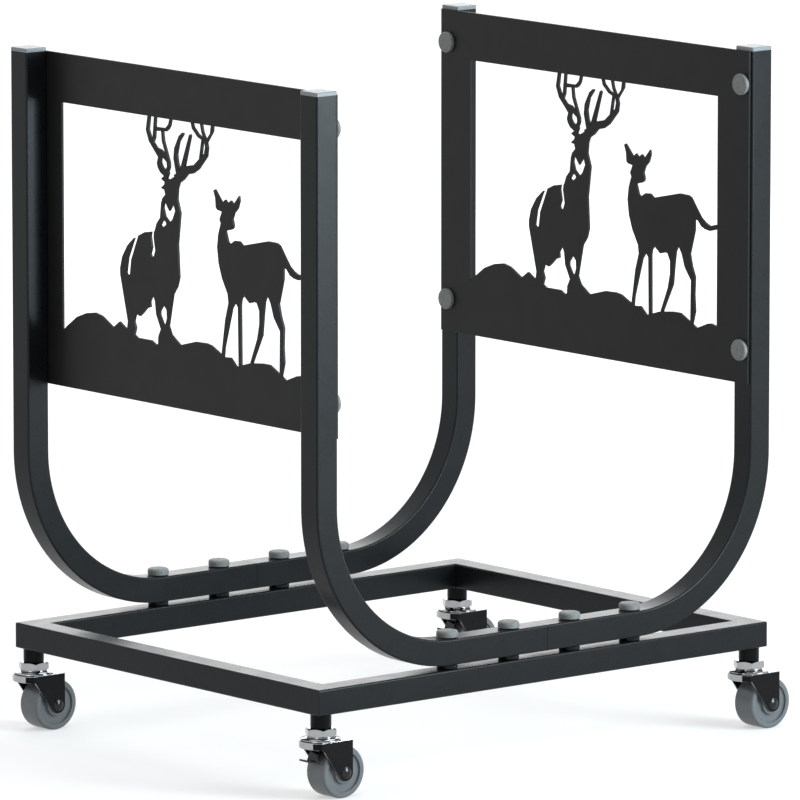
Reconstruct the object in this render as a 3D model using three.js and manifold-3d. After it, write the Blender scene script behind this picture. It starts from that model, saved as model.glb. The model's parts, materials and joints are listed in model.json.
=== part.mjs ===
// Fireside log cart: a cradle of bent square tube bolted to a welded base frame on four swivel
// casters, with a laser-cut sheet panel of a stag and a doe on each side.
//
// Millimetres, +Z up. Left and right are -X and +X, front and rear are -Y and +Y, and the cradle
// is open at the front and the rear. The floor is z = 0, and the origin is in the middle of the
// ground that the whole cart covers.
import * as THREE from "three";
import { mergeVertices, toCreasedNormals } from "three/addons/utils/BufferGeometryUtils.js";
import Module from "manifold-3d";

const wasm = await Module();
wasm.setup();

// ---------------------------------------------------------------- driving dimensions

// Square tube, the same for the base frame and the cradle
const tubeSide = 20;
const tubeWall = 1.5;
const tubeCornerRadius = 1.5;

// Base frame, over its outer faces
const baseLength = 450;
const baseDepth = 371;

// Cradle: two upright U frames, each made of two bent halves that meet in the middle
const cradleWidth = 453;
const cradleHeight = 443; // from its underside to the open ends of the posts
const bendRadius = 122; // of the tube's centre line
const seamGap = 0.3;
const sleeveLength = 100;
const sleeveWall = 1.5;
const slidingGap = 0.3; // around what slides into a tube
const seatGap = 0.1; // under the bolt heads and behind the rivet heads

// Bolts that hold the cradle down, and the spacers under it
const boltPitch = 61;
const boltShankRadius = 4;
const boltHeadRadius = 8.3;
const boltHeadHeight = 5;
const boltHeadRounding = 1.8;
const spacerRadius = 7.75;
const spacerHeight = 3.5;

// Screws that hold the panels to the posts
const screwShankRadius = 3;
const screwHeadRadius = 8.3;
const screwHeadHeight = 3.2;
const screwHeadRounding = 1.2;
const screwFromEdge = 26; // down from the panel's top edge, and up from its bottom edge

// Nuts set into the tube walls for the bolts and the screws
const insertWall = 2.4; // of metal around the thread
const insertDepth = 6;
const threadEndPast = 1; // how far a bolt or screw shows past its nut
const shankClearance = 0.3;

// End caps on the posts
const capFlange = 3;
const capChamfer = 0.8;
const capPlugDepth = 12;

// Side panels
const panelThickness = 2;
const panelHeight = 258.5;
const panelInset = 2; // behind the outer faces of the posts, at each end
const stileWidth = 36;
const topRailHeight = 38;

// Caster: socket and lock nut
const socketRadius = 8;
const socketHeight = 10.5;
const nutAcrossFlats = 21.5;
const nutHeight = 6;

// Caster: stem and upper ball race
const stemRadius = 5;
const stemInTube = 12; // how far the stem reaches up into the base frame
const raceRadius = 16;
const raceRimHeight = 1.2;
const raceTopRadius = 10.5;
const raceHeight = 3.2;
const swivelGap = 0.3;
const stemHeadRadius = 7.5;
const stemHeadHeight = 1.2;

// Caster: fork, pressed from sheet
const forkSheet = 1.5;
const forkHalfWidth = 13.2;
const crownRadius = 16.4;
const crownSkirt = 5.3;
const cheekStart = -8.5; // where the front edge of the side plates leaves the skirt
const cheekKnee = [-1.2, -15.4]; // where it turns towards the axle, from the stem and the top
const forkDrop = 25; // from the crown's top to the axle
const trail = 14; // from the stem's axis back to the axle
const lobeRadius = 6.5; // of the side plates around the axle

// Caster: wheel and axle
const wheelRadius = 20;
const treadHalfWidth = 10.5;
const treadRounding = 2;
const rimInnerRadius = 15.4;
const webHalfWidth = 8.8;
const hubRadius = 8.8;
const axleRadius = 3;
const axleHeadRadius = 4.6;
const axleHeadHeight = 1.4;
const runningGap = 0.3; // hub to fork, and wheel to axle

// Brake pedal: a bent strip on a pin across the front of the fork
const pedalWidth = 11;
const pedalSheet = 1.5;
const pedalPinRadius = 1.8;
const pedalBarrelRadius = 2.6;
const pedalPin = [-4.2, -6.2]; // from the stem's axis and the crown's top, as the next two
const pedalShoe = [-8.6, -15.5];
const pedalToe = [-16.6, -14];

// ---------------------------------------------------------------- facets and cutters

const bendSteps = 10; // of a bent tube
const turnedSides = 14;
const headSides = 12; // of the bolts and the screws
const wheelSides = 16;
const holeSides = 8;
const filletSteps = 1;
const arcSteps = 6; // of an arc in a drawn outline
const overcut = 1; // how far a cutter runs past what it cuts

// ---------------------------------------------------------------- sizes that follow

const half = tubeSide / 2;
const tubeBore = tubeSide - 2 * tubeWall;
const sleeveSide = tubeBore - 2 * slidingGap;

const crownTop = wheelRadius + forkDrop;
const raceBottom = crownTop + swivelGap;
const nutBottom = raceBottom + raceHeight;
const socketBottom = nutBottom + nutHeight;
const baseBottom = socketBottom + socketHeight;
const baseTop = baseBottom + tubeSide;
const cradleBottom = baseTop + spacerHeight;
const postEnd = cradleBottom + cradleHeight;

const postX = cradleWidth / 2 - half; // centre line of a post
const postFace = postX - half; // the posts' inner faces, where the panels lie
const frameY = baseDepth / 2 - half; // middle plane of a U frame
const casterX = baseLength / 2 - half;
const forkRear = trail + lobeRadius; // from the stem's axis
const boltHole = boltShankRadius + shankClearance;
const screwHole = screwShankRadius + shankClearance;
const boltPlaces = [-1.5, -0.5, 0.5, 1.5].map((k) => k * boltPitch);

// The outer bolt heads lie over the start of the bend, where the tube's surface rises.
const overBend = Math.max(0, boltPlaces[3] + boltHeadRadius - (postX - bendRadius));
const boltSeat = cradleBottom + tubeSide + seatGap + overBend * Math.tan(Math.PI / 4 / bendSteps);

const panelLength = baseDepth - 2 * panelInset;
const windowRight = panelLength / 2 - stileWidth;
const windowTop = panelHeight - topRailHeight;
const panelBottom = postEnd - panelHeight;
const screwHeights = [panelBottom + screwFromEdge, postEnd - screwFromEdge];

// ---------------------------------------------------------------- finishes

const finish = (color, roughness, metalness) =>
  new THREE.MeshStandardMaterial({ color, roughness, metalness });
const blackPowderCoat = finish(0x2b2d2e, 0.38, 0.2);
const greyHead = finish(0x63686b, 0.55, 0.3);
const greyCap = finish(0x8a9092, 0.45, 0);
const chrome = finish(0xc9ccce, 0.14, 1);
const darkPlastic = finish(0x4b5154, 0.5, 0);
const blackPlastic = finish(0x1c1d1e, 0.5, 0);

// ---------------------------------------------------------------- making solids

// A closed three.js geometry as a solid that can be joined and cut.
function solidOf(geometry) {
  const bare = geometry.clone();
  bare.deleteAttribute("normal");
  bare.deleteAttribute("uv");
  const merged = mergeVertices(bare, 1e-3);
  return new wasm.Manifold(
    new wasm.Mesh({
      numProp: 3,
      vertProperties: merged.attributes.position.array,
      triVerts: new Uint32Array(merged.index.array),
    }),
  );
}

// The same way back.
function geometryOf(solid) {
  const { vertProperties, triVerts } = solid.getMesh();
  const geometry = new THREE.BufferGeometry();
  geometry.setAttribute("position", new THREE.BufferAttribute(new Float32Array(vertProperties), 3));
  geometry.setIndex(new THREE.BufferAttribute(new Uint32Array(triVerts), 1));
  return toCreasedNormals(geometry, Math.PI / 6);
}

const joined = (solids) => solids.reduce((whole, piece) => whole.add(piece));
const cutBy = (solid, tools) => tools.reduce((left, tool) => left.subtract(tool), solid);

// A box between two corners.
function box([x0, y0, z0], [x1, y1, z1]) {
  const geometry = new THREE.BoxGeometry(x1 - x0, y1 - y0, z1 - z0);
  return solidOf(geometry.translate((x0 + x1) / 2, (y0 + y1) / 2, (z0 + z1) / 2));
}

// Turns a shape's own Y axis onto the named axis.
const ontoAxis = {
  x: (geometry) => geometry.rotateZ(-Math.PI / 2),
  y: (geometry) => geometry,
  z: (geometry) => geometry.rotateX(Math.PI / 2),
};

// A prism along an axis with a given distance from its middle to its flats.
function prism(axis, sides, flatRadius, from, to, [x, y, z] = [0, 0, 0]) {
  const radius = flatRadius / Math.cos(Math.PI / sides);
  const geometry = new THREE.CylinderGeometry(radius, radius, to - from, sides);
  geometry.translate(0, (from + to) / 2, 0);
  return solidOf(ontoAxis[axis](geometry).translate(x, y, z));
}

// A cutter for a round hole: even the flats of its facets clear the hole's radius.
const hole = (axis, radius, from, to, at) => prism(axis, holeSides, radius, from, to, at);
const hexagon = (axis, acrossFlats, from, to, at) =>
  prism(axis, 6, acrossFlats / 2, from, to, at);

// A turned piece: [radius, height] points from its bottom to its top, or round a closed ring.
function turned(axis, profile, segments) {
  const points = profile.map(([radius, height]) => new THREE.Vector2(radius, height));
  return ontoAxis[axis](new THREE.LatheGeometry(points, segments));
}

// The profile of a piece that is the same on both sides of y = 0, from one side's outline.
const bothSides = (side) => [...side.map(([radius, y]) => [radius, -y]), ...side.toReversed()];

// A quarter circle from a start angle, as the points of a profile or a section.
function fillet([centreX, centreY], radius, start) {
  return Array.from({ length: filletSteps + 1 }, (_, k) => {
    const angle = start + ((Math.PI / 2) * k) / filletSteps;
    return [centreX + radius * Math.cos(angle), centreY + radius * Math.sin(angle)];
  });
}

// A solid through a row of rings with as many points each, flat at both ends or closed in a loop.
function loft(rings, loop = false) {
  const count = rings[0].length;
  const index = [];
  const spans = loop ? rings.length : rings.length - 1;
  for (let span = 0; span < spans; span++) {
    const here = span * count;
    const next = ((span + 1) % rings.length) * count;
    for (let k = 0; k < count; k++) {
      const l = (k + 1) % count;
      index.push(here + k, here + l, next + l, here + k, next + l, next + k);
    }
  }
  const last = (rings.length - 1) * count;
  for (let k = 1; !loop && k + 1 < count; k++)
    index.push(0, k + 1, k, last, last + k, last + k + 1);
  const geometry = new THREE.BufferGeometry();
  geometry.setAttribute("position", new THREE.Float32BufferAttribute(rings.flat(2), 3));
  return solidOf(geometry.setIndex(index));
}

// The outline of a square section with rounded corners, as [across, up] points.
function squareSection(side, cornerRadius) {
  const reach = side / 2 - cornerRadius;
  return [0, 1, 2, 3].flatMap((quarter) => {
    const corner = [
      quarter === 0 || quarter === 3 ? reach : -reach,
      quarter < 2 ? reach : -reach,
    ];
    if (cornerRadius === 0) return [corner];
    return fillet(corner, cornerRadius, (quarter * Math.PI) / 2);
  });
}

// ---------------------------------------------------------------- base frame

// The loop of a square section round the base, mitred at its corners.
function baseLoop(section) {
  const corners = [[1, 1], [-1, 1], [-1, -1], [1, -1]];
  const rings = corners.map(([sideX, sideY]) =>
    section.map(([out, up]) => [
      sideX * (baseLength / 2 - half + out),
      sideY * (baseDepth / 2 - half + out),
      baseBottom + half + up,
    ]),
  );
  return loft(rings.reverse(), true);
}

function baseFrame() {
  const insertTop = baseTop - tubeWall / 2;
  const insertBottom = baseTop - tubeWall - insertDepth;
  const inserts = [];
  const holes = [];
  for (const y of [-frameY, frameY])
    for (const x of boltPlaces) {
      const flats = 2 * (boltHole + insertWall);
      inserts.push(hexagon("z", flats, insertBottom, insertTop, [x, y, 0]));
      holes.push(hole("z", boltHole, insertBottom - overcut, baseTop + overcut, [x, y, 0]));
    }
  const sockets = [];
  for (const x of [-casterX, casterX])
    for (const y of [-frameY, frameY]) {
      const wallMiddle = baseBottom + tubeWall / 2;
      const bottom = socketBottom - overcut;
      const top = baseBottom + tubeWall + overcut;
      sockets.push(prism("z", turnedSides, socketRadius, socketBottom, wallMiddle, [x, y, 0]));
      holes.push(hole("z", stemRadius + shankClearance, bottom, top, [x, y, 0]));
    }
  const walls = baseLoop(squareSection(tubeSide, tubeCornerRadius));
  const hollow = baseLoop(squareSection(tubeBore, 0));
  return geometryOf(cutBy(joined([walls.subtract(hollow), ...inserts, ...sockets]), holes));
}

// ---------------------------------------------------------------- cradle

// One half of a U frame in the plane y = 0: down a post, round the bend and in to the middle.
function bentTube(section, endPast) {
  const bendX = postX - bendRadius;
  const bendZ = cradleBottom + half + bendRadius;
  const ring = (x, z, outX, outZ) =>
    section.map(([across, out]) => [x + out * outX, across, z + out * outZ]);
  const bend = Array.from({ length: bendSteps + 1 }, (_, k) => {
    const angle = (-Math.PI / 2) * (k / bendSteps);
    const [outX, outZ] = [Math.cos(angle), Math.sin(angle)];
    return ring(bendX + bendRadius * outX, bendZ + bendRadius * outZ, outX, outZ);
  });
  return loft([
    ring(postX, postEnd + endPast, 1, 0),
    ...bend,
    ring(seamGap / 2 - endPast, cradleBottom + half, 0, -1),
  ]);
}

// The right-hand half. Turned half a turn about Z, it is the left-hand one.
function cradleTube() {
  const walls = bentTube(squareSection(tubeSide, tubeCornerRadius), 0);
  const hollow = bentTube(squareSection(tubeBore, 0), overcut);
  const flats = 2 * (screwHole + insertWall);
  const insertEnd = postFace + tubeWall + insertDepth;
  const inserts = screwHeights.map((z) =>
    hexagon("x", flats, postFace + tubeWall / 2, insertEnd, [0, 0, z]),
  );
  const screwHoles = screwHeights.map((z) =>
    hole("x", screwHole, postFace - overcut, insertEnd + overcut, [0, 0, z]),
  );
  const [bottom, top] = [cradleBottom - overcut, cradleBottom + tubeSide + overcut];
  const boltHoles = boltPlaces
    .filter((x) => x > 0)
    .map((x) => hole("z", boltHole, bottom, top, [x, 0, 0]));
  return geometryOf(
    cutBy(joined([walls.subtract(hollow), ...inserts]), [...screwHoles, ...boltHoles]),
  );
}

// The sleeve inside the seam, held by the two inner bolts.
function joiningSleeve() {
  const ringAt = (side) => (x) =>
    squareSection(side, 0).map(([across, up]) => [x, across, cradleBottom + half + up]);
  const ends = [-sleeveLength / 2, sleeveLength / 2];
  const outer = loft(ends.map(ringAt(sleeveSide)));
  const pastEnds = ends.map((x) => x + overcut * Math.sign(x));
  const inner = loft(pastEnds.map(ringAt(sleeveSide - 2 * sleeveWall)));
  const holes = boltPlaces
    .filter((x) => Math.abs(x) < sleeveLength / 2)
    .map((x) => hole("z", boltHole, cradleBottom, cradleBottom + tubeSide, [x, 0, 0]));
  return geometryOf(cutBy(outer, [inner, ...holes]));
}

// A plug with a flange that covers the end of a post; the end face is z = 0.
function endCap() {
  const ringAt = (side, radius, z) =>
    squareSection(side, radius).map(([across, up]) => [across, up, z]);
  const flange = loft([
    ringAt(tubeSide, tubeCornerRadius, 0),
    ringAt(tubeSide, tubeCornerRadius, capFlange - capChamfer),
    ringAt(tubeSide - 2 * capChamfer, tubeCornerRadius, capFlange),
  ]);
  const reach = sleeveSide / 2;
  return geometryOf(flange.add(box([-reach, -reach, -capPlugDepth], [reach, reach, capFlange / 2])));
}

// ---------------------------------------------------------------- bolts, screws and spacers

// A low round head with a plain shank below it; the head's seat is height 0.
function headedShank(axis, head, shank) {
  const shoulder = [head.radius - head.rounding, head.height - head.rounding];
  return turned(
    axis,
    [
      [0, -shank.length],
      [shank.radius, -shank.length],
      [shank.radius, 0],
      [head.radius, 0],
      ...fillet(shoulder, head.rounding, 0),
      [0, head.height],
    ],
    headSides,
  );
}

const intoInsert = tubeWall + insertDepth + threadEndPast;
const frameBolt = () =>
  headedShank(
    "z",
    { radius: boltHeadRadius, height: boltHeadHeight, rounding: boltHeadRounding },
    { radius: boltShankRadius, length: boltSeat - baseTop + intoInsert },
  );
const panelScrew = () =>
  headedShank(
    "x",
    { radius: screwHeadRadius, height: screwHeadHeight, rounding: screwHeadRounding },
    { radius: screwShankRadius, length: panelThickness + intoInsert },
  );

const spacer = () => {
  const disc = prism("z", headSides, spacerRadius, 0, spacerHeight);
  return geometryOf(disc.subtract(hole("z", boltHole, -overcut, spacerHeight + overcut)));
};

// ---------------------------------------------------------------- side panels

// The panel is drawn as seen from the left side of the cart: u runs from its rear end to its
// front end with 0 in the middle, and v runs up from its bottom edge. The picture is drawn in
// units of its own, and is stretched to fill the window.

const pictureUnits = { across: 295, high: 220.5 };
const samplesPerPoint = 2; // of a smooth line
const flatness = 0.55; // how far a sample lies off the line of its neighbours to be kept

// A row of points without those that lie almost on a straight line.
function thinned(points) {
  const kept = [points[0]];
  for (let k = 1; k + 1 < points.length; k++) {
    const chord = points[k + 1].clone().sub(kept.at(-1));
    const off = Math.abs(chord.cross(points[k].clone().sub(kept.at(-1)))) / chord.length();
    if (off > flatness) kept.push(points[k]);
  }
  return [...kept, points.at(-1)];
}

// A closed outline of smooth stretches. Where one stretch ends and the next starts is a corner.
function outline(...stretches) {
  return new THREE.Shape(
    stretches.flatMap((stretch) => {
      const points = stretch.map(([u, v]) => new THREE.Vector2(u, v));
      if (points.length < 3) return points;
      return thinned(
        new THREE.SplineCurve(points).getPoints(samplesPerPoint * (points.length - 1)),
      );
    }),
  );
}

// A stroke along a smooth line that changes width from its start to its pointed end.
function stroke(startWidth, endWidth, line) {
  const curve = new THREE.SplineCurve(line.map(([u, v]) => new THREE.Vector2(u, v)));
  const steps = samplesPerPoint * (line.length - 1);
  const left = [];
  const right = [];
  for (let k = 0; k <= steps; k++) {
    const point = curve.getPoint(k / steps);
    const along = curve.getTangent(k / steps);
    const width = startWidth + (endWidth - startWidth) * (k / steps);
    const side = new THREE.Vector2(-along.y, along.x).multiplyScalar(width / 2);
    left.push(point.clone().add(side));
    right.unshift(point.clone().sub(side));
  }
  const tip = curve.getPoint(1).add(curve.getTangent(1).multiplyScalar(endWidth / 2));
  return new THREE.Shape([...thinned(left), tip, ...thinned(right)]);
}

// What meets the border of the picture runs into it, and the figures stand in the hills.
const intoBorder = 4;
const aboveRail = pictureUnits.high + intoBorder;
const pastStile = pictureUnits.across / 2 + intoBorder;
const underground = 30;

// The hills, from the rear stile to the front one.
const hills = outline(
  [
    [-pastStile, 40], [-130, 56], [-107, 62], [-92, 57], [-85, 53], [-77, 58.5], [-70, 54.5],
    [-60, 51], [-55, 48.5], [-38, 48.5], [-32, 45.5], [-24, 50], [-14, 56], [-3, 49],
    [10, 52.5], [22, 54.5], [35, 53], [43, 48.8], [50, 46], [58, 46.5], [65, 40.5],
    [74, 43.5], [88, 46], [105, 46.5], [115, 41.5], [124, 37], [133, 40.5], [141, 42.5],
    [pastStile, 40],
  ],
  [[pastStile, underground], [-pastStile, underground]],
);

// The stag, seen from the front with its body turned away to the rear.
const stagBody = outline(
  [[-20, 175], [-14.5, 174.5], [-8, 178], [-2, 175.5], [-4.5, 171], [-5.3, 166], [-5.8, 160.5]],
  [[-5.8, 160.5], [-2.8, 153], [-2, 147], [-3.8, 138], [-5.3, 126], [-4.3, 113], [-3.8, 101]],
  [[-3.8, 101], [-6.2, 93.5], [-11.2, 87], [-13.2, 80], [-14.5, 71], [-16.8, 62], [-11, 51]],
  [[-11, underground], [-68, underground]],
  [[-68, 52], [-66.7, 60], [-70, 70], [-71.2, 78], [-75, 90], [-76, 100], [-73.5, 109]],
  [[-73.5, 109], [-67, 118.5], [-59, 125], [-50, 129.5], [-42, 131.8], [-33.5, 133]],
  [[-33.5, 133], [-31, 139.5], [-26.8, 144], [-26.5, 151], [-24, 159], [-20.3, 162.5]],
  [[-20.3, 162.5], [-21.5, 166], [-25.6, 167]],
  [[-25.6, 167], [-21.5, 170]],
);
const stagEar = outline([[-19, 171], [-22, 173], [-25.3, 174]], [[-22.5, 176], [-19, 178]]);
const stagGaps = [
  // between the hind leg and the forelegs
  outline(
    [[-59.3, underground], [-58.9, 50]],
    [[-58.9, 50], [-57, 56], [-59, 61], [-56.8, 67], [-52, 65.5], [-48, 68.5]],
    [[-48, 68.5], [-43.5, 72.5], [-38.8, 74], [-39.4, 78.5], [-35.6, 84], [-33.3, 79]],
    [[-33.3, 79], [-33, 73], [-30.5, 65.5], [-26.3, 58.5], [-29.4, 52.5]],
    [[-30.5, underground]],
  ),
  // between the forelegs
  outline([[-23, 77.8], [-19.2, 74], [-18.8, 68], [-21, 61.5], [-26, 66.5], [-27.3, 72], [-23, 77.8]]),
  // around the muzzle
  outline(
    [[-21.5, 158], [-18.5, 154.5], [-15.5, 150.2], [-13.2, 153.5], [-10.4, 156.7]],
    [[-10.4, 156.7], [-8.4, 151], [-11.5, 144.5], [-16, 142], [-20.4, 145.5], [-22.8, 152], [-21.5, 158]],
  ),
  outline([[-21, 142.8], [-19, 140], [-23, 136.6], [-26.3, 138.3], [-24.3, 141.2], [-21, 142.8]]),
  // lines of the haunch and the shoulder, cut in from the back
  stroke(3.4, 4.6, [[-53.2, 132], [-58.2, 121.5], [-62.7, 113], [-65.5, 104], [-66.2, 97]]),
  stroke(3.4, 4.4, [[-35, 138], [-36.6, 128.5], [-35, 122.5], [-34.8, 118.5], [-36.6, 114.5]]),
];
const stagAntlers = [
  // rear antler: its beam, then the tines from it
  stroke(5.5, 2.6, [[-17, 177], [-25, 181], [-28, 186], [-26.8, 191], [-31.4, 195.5], [-38.6, 202.5],
    [-42, 210], [-40.6, 217], [-39.5, aboveRail]]),
  stroke(3, 2.2, [[-37, 199], [-34, 205], [-33.4, 213], [-32.2, aboveRail]]),
  stroke(3.2, 2.2, [[-33.4, 211.5], [-26, 211.3], [-19.5, 212], [-15.2, 216], [-12.7, aboveRail]]),
  stroke(2.2, 3.4, [[-24, 211], [-23, 203], [-19.7, 196], [-17, 190], [-16.4, 184], [-20, 177]]),
  stroke(4, 3.4, [[-32, 195.5], [-26, 194.5], [-21, 190.5], [-17, 188.5]]),
  // front antler: its beam, the tines from it and the two that stand free
  stroke(8, 2.6, [[-8, 175], [0, 179], [5.5, 183.6], [12.6, 184.8], [18.6, 188], [23.8, 193],
    [28.6, 197.6], [29.8, 203.5], [28.3, 209.5]]),
  stroke(2.2, 2, [[21.6, 192.5], [22.6, 201], [24.8, 209]]),
  stroke(2.4, 2.4, [[27.5, 208.5], [19.5, 211.5], [13.3, 216.8], [10.8, aboveRail]]),
  stroke(2, 2.2, [[28.8, 208], [24.8, 214.5], [22.1, aboveRail]]),
  stroke(2.2, 2.4, [[29.3, 207.5], [33.3, 211.5], [36.3, 216.5], [37.1, aboveRail]]),
  stroke(5.6, 2, [[-4, 179], [-7.2, 187.5], [-8, 195], [-6.2, 202], [-2.7, 208], [1, 211]]),
  stroke(4.6, 2.2, [[0, 183], [2, 190], [5.8, 198], [8.8, 205.5], [9.8, 210.5]]),
];

// The doe, standing across the panel and looking back over it.
const doeBody = outline(
  [[38, 171.6], [39.7, 172.7], [43.6, 168], [48.6, 163.2]],
  [[48.6, 163.2], [52, 166.2], [55, 163.4]],
  [[55, 163.4], [58.6, 166.2], [62, 163.5]],
  [[62, 163.5], [65.8, 168], [68.6, 170.8], [69.2, 167], [67, 161], [62.8, 157]],
  [[62.8, 157], [60.8, 152.3], [62.2, 147.5], [59.8, 144.2], [52.5, 142.4]],
  [[52.5, 142.4], [54, 137], [57.5, 132.8], [63.5, 136.2], [69, 136.3], [72.8, 133.6]],
  [[72.8, 133.6], [85, 136.3], [97, 139.2], [109, 140.5], [117, 138.2], [122.6, 131]],
  [[122.6, 131], [128.4, 124], [139, 118.5], [pastStile, 121.5]],
  [[pastStile, 117.5], [139, 114.5], [129, 117], [125, 121.2], [121.3, 122.4]],
  [[121.3, 122.4], [121.2, 113], [118.2, 103], [115.7, 94], [118.2, 84.5], [121.7, 76.5], [121, 63]],
  [[121, 63], [122, 50], [118.7, 38]],
  [[118.7, underground], [46, underground]],
  [[47.4, 48], [50, 62], [51.8, 75], [55, 84], [55.7, 91.5], [53, 98], [48, 106]],
  [[48, 106], [44, 117], [42.3, 129], [43.6, 139], [46.7, 147.5], [45.2, 150.5]],
  [[45.2, 150.5], [48, 156.5]],
  [[48, 156.5], [44.5, 156.8], [40.8, 159], [40.2, 166]],
);
const doeGaps = [
  // between the forelegs
  outline(
    [[47.9, underground], [49.4, 46], [52.3, 60.5], [56.2, 72.5], [60, 84.3], [64, 89.5], [67, 86]],
    [[67, 86], [67, 58], [68, underground]],
  ),
  // under the belly
  outline(
    [[70.9, underground], [70, 60], [70, 82], [71.2, 92.5], [75, 95], [78.5, 93], [81, 90.6]],
    [[81, 90.6], [85, 91.6], [89.5, 91.8], [92.6, 86], [92.6, 76], [90, 64.5], [85.5, 53.5], [82, 46]],
    [[80, underground]],
  ),
  // between the hind legs
  outline(
    [[82.9, underground], [84.6, 46], [89.7, 56.5], [94.7, 64.5], [96.7, 72], [97.7, 84]],
    [[97.7, 84], [99.2, 94], [102.8, 98.3], [106, 93.5], [108.3, 86], [111.8, 80], [117.2, 73.5]],
    [[117.2, 73.5], [117, 55], [116.5, underground]],
  ),
];

// A solid plate of the panel's thickness from a drawn shape, with its back at w = 0.
const plate = (shape) =>
  solidOf(new THREE.ExtrudeGeometry(shape, { depth: panelThickness, bevelEnabled: false }));
function cutter(shape) {
  const depth = panelThickness + 2 * overcut;
  const geometry = new THREE.ExtrudeGeometry(shape, { depth, bevelEnabled: false });
  return solidOf(geometry.translate(0, 0, -overcut));
}

function rectangle(u0, v0, u1, v1) {
  return outline([[u0, v0], [u1, v0]], [[u1, v1], [u0, v1]]);
}

function sidePanel() {
  const stretch = [2 * windowRight / pictureUnits.across, windowTop / pictureUnits.high, 1];
  const sill = underground * stretch[1];
  const sheet = plate(rectangle(-panelLength / 2, 0, panelLength / 2, panelHeight));
  const window = cutter(rectangle(-windowRight, sill, windowRight, windowTop));
  const stag = cutBy(joined([plate(stagBody), plate(stagEar)]), stagGaps.map(cutter));
  const doe = cutBy(plate(doeBody), doeGaps.map(cutter));
  const picture = joined([stag, doe, ...stagAntlers.map(plate), plate(hills)]).scale(stretch);
  const [back, face] = [-overcut, panelThickness + overcut];
  const screws = [-frameY, frameY].flatMap((u) =>
    screwHeights.map((z) => hole("z", screwHole, back, face, [u, z - panelBottom, 0])),
  );
  return geometryOf(cutBy(joined([sheet.subtract(window), picture]), screws));
}

// ---------------------------------------------------------------- casters

// All pieces of a caster are made about the stem's axis, with the wheel trailing towards +X.

function casterStem() {
  const headTop = crownTop - forkSheet - swivelGap;
  return turned(
    "z",
    [
      [0, headTop - stemHeadHeight],
      [stemHeadRadius, headTop - stemHeadHeight],
      [stemHeadRadius, headTop],
      [stemRadius, headTop],
      [stemRadius, raceBottom],
      [raceRadius, raceBottom],
      [raceRadius, raceBottom + raceRimHeight],
      [raceTopRadius, nutBottom],
      [stemRadius, nutBottom],
      [stemRadius, baseBottom + stemInTube],
      [0, baseBottom + stemInTube],
    ],
    turnedSides,
  );
}

function lockNut() {
  const body = hexagon("z", nutAcrossFlats, nutBottom, socketBottom);
  const [bottom, top] = [nutBottom - overcut, socketBottom + overcut];
  return geometryOf(body.subtract(hole("z", stemRadius + shankClearance, bottom, top)));
}

// The fork's side outline: crown, skirt, bent front edge, lobe round the axle, upright back.
function forkSide() {
  const toKnee = new THREE.Vector2(cheekKnee[0] - trail, cheekKnee[1] + forkDrop);
  const touch = Math.atan2(toKnee.y, toKnee.x) + Math.acos(lobeRadius / toKnee.length());
  const side = new THREE.Shape();
  side.moveTo(-crownRadius, 0);
  side.lineTo(-crownRadius, -crownSkirt);
  side.lineTo(cheekStart, -crownSkirt);
  side.lineTo(...cheekKnee);
  side.absarc(trail, -forkDrop, lobeRadius, touch, 2 * Math.PI, false);
  side.lineTo(forkRear, 0);
  return side;
}

// The crown seen from above: round in front, straight at the sides and the back.
function crownPlan(radius, halfWidth, rear) {
  const turn = Math.asin(halfWidth / radius);
  const plan = new THREE.Shape();
  plan.moveTo(rear, -halfWidth);
  plan.lineTo(rear, halfWidth);
  plan.absarc(0, 0, radius, Math.PI - turn, Math.PI + turn, false);
  return plan;
}

const extruded = (shape, depth) =>
  new THREE.ExtrudeGeometry(shape, { depth, bevelEnabled: false, curveSegments: arcSteps });

function casterFork(braked) {
  const side = extruded(forkSide(), 2 * forkHalfWidth)
    .rotateX(Math.PI / 2)
    .translate(0, forkHalfWidth, crownTop);
  const plan = extruded(crownPlan(crownRadius, forkHalfWidth, forkRear + overcut), crownTop);
  const innerHalf = forkHalfWidth - forkSheet;
  const inside = crownPlan(crownRadius - forkSheet, innerHalf, forkRear + 2 * overcut);
  const innerTop = crownTop - forkSheet;
  const room = extruded(inside, innerTop);
  const across = forkHalfWidth + overcut;
  const holes = [
    hole("z", stemRadius + swivelGap, innerTop - overcut, crownTop + overcut),
    hole("y", axleRadius + shankClearance, -across, across, [trail, 0, wheelRadius]),
  ];
  if (braked) {
    const [x, z] = pedalPin;
    const at = [x, 0, crownTop + z];
    holes.push(hole("y", pedalPinRadius + shankClearance, -across, across, at));
  }
  return geometryOf(cutBy(solidOf(side).intersect(solidOf(plan)), [solidOf(room), ...holes]));
}

// The wheel about its own axle, along Y: rounded tread, sunk web and hub.
function casterWheel() {
  const bore = axleRadius + runningGap;
  const hubHalf = forkHalfWidth - forkSheet - runningGap;
  const shoulder = [wheelRadius - treadRounding, treadHalfWidth - treadRounding];
  const profile = bothSides([
    [bore, hubHalf],
    [hubRadius, hubHalf],
    [hubRadius, webHalfWidth],
    [rimInnerRadius, webHalfWidth],
    [rimInnerRadius, treadHalfWidth],
    ...fillet(shoulder, treadRounding, 0).reverse(),
  ]);
  return turned("y", [...profile, profile[0]], wheelSides);
}

// The axle: a rivet through both side plates, with a low round head at each end.
function casterAxle() {
  const seat = forkHalfWidth + seatGap;
  const end = seat + axleHeadHeight;
  const profile = bothSides([
    [0, end],
    [axleHeadRadius - axleHeadHeight, end],
    [axleHeadRadius, seat],
    [axleRadius, seat],
  ]);
  return turned("y", profile, holeSides);
}

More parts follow.
